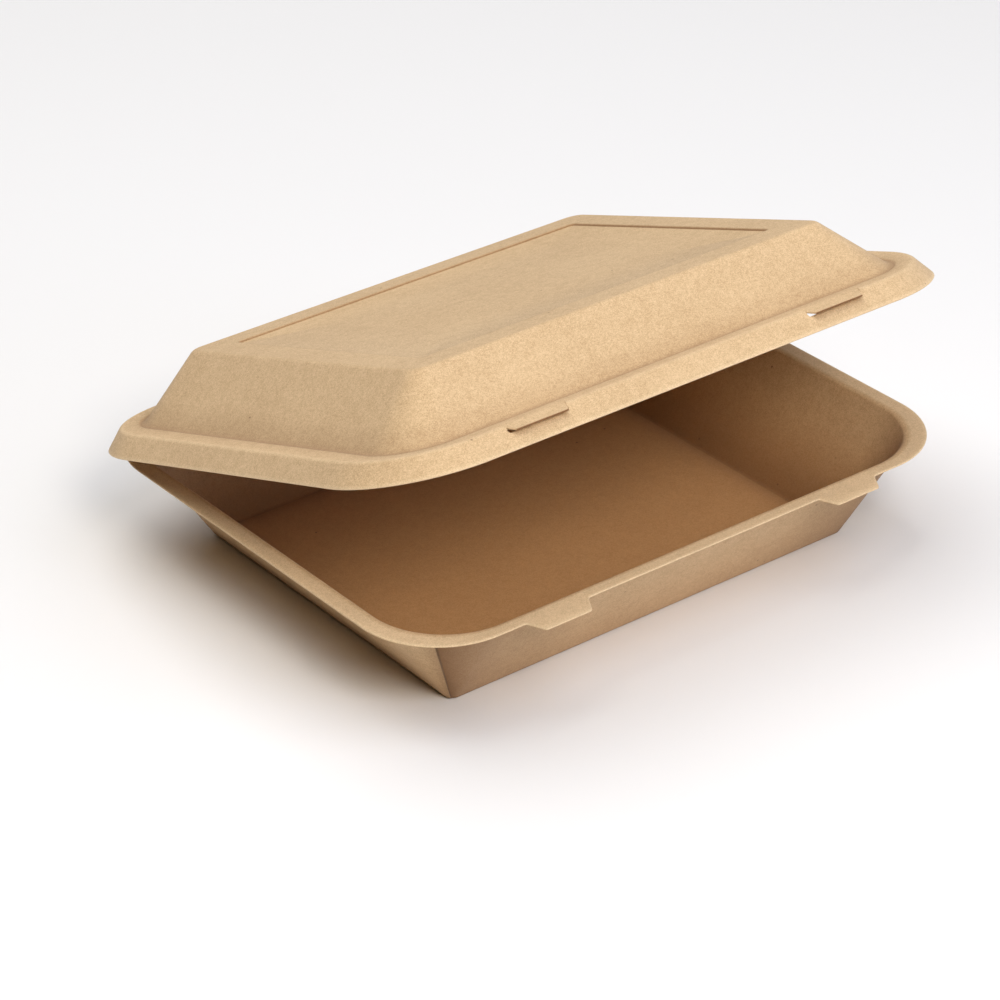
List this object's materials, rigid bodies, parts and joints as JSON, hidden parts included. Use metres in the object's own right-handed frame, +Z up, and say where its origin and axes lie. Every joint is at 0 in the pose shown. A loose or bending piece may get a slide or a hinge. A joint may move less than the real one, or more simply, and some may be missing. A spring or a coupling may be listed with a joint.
{
  "type": "takeaway box",
  "caption": "Moulded kraft-fibre takeaway box: tapered tray with a flat rim, lock tabs in front, and a shallow domed lid with matching slits, hinged along one long side.",
  "frame": {"origin": "middle of the tray's underside, on the table", "axes": "+X along the hinge, -Y towards the front with the lock tabs, +Z up; the hinge is at +Y"},
  "size_m": [0.2414, 0.1961, 0.1122],
  "materials": {
    "tray_fibre": "matte unbleached moulded fibre, light brown, fine mottled grain",
    "lid_fibre": "matte unbleached moulded fibre, light brown, fine mottled grain"
  },
  "bodies": {
    "tray": {"tray": "tray_fibre"},
    "lid": {"lid": "lid_fibre"}
  },
  "joints": [
    {"name": "lid_hinge", "type": "hinge", "parent": "tray", "child": "lid", "pos_m": [0, 0.0969, 0.0378], "axis": [-1, 0, 0], "range_deg": [-19.5, 160.5]}
  ]
}
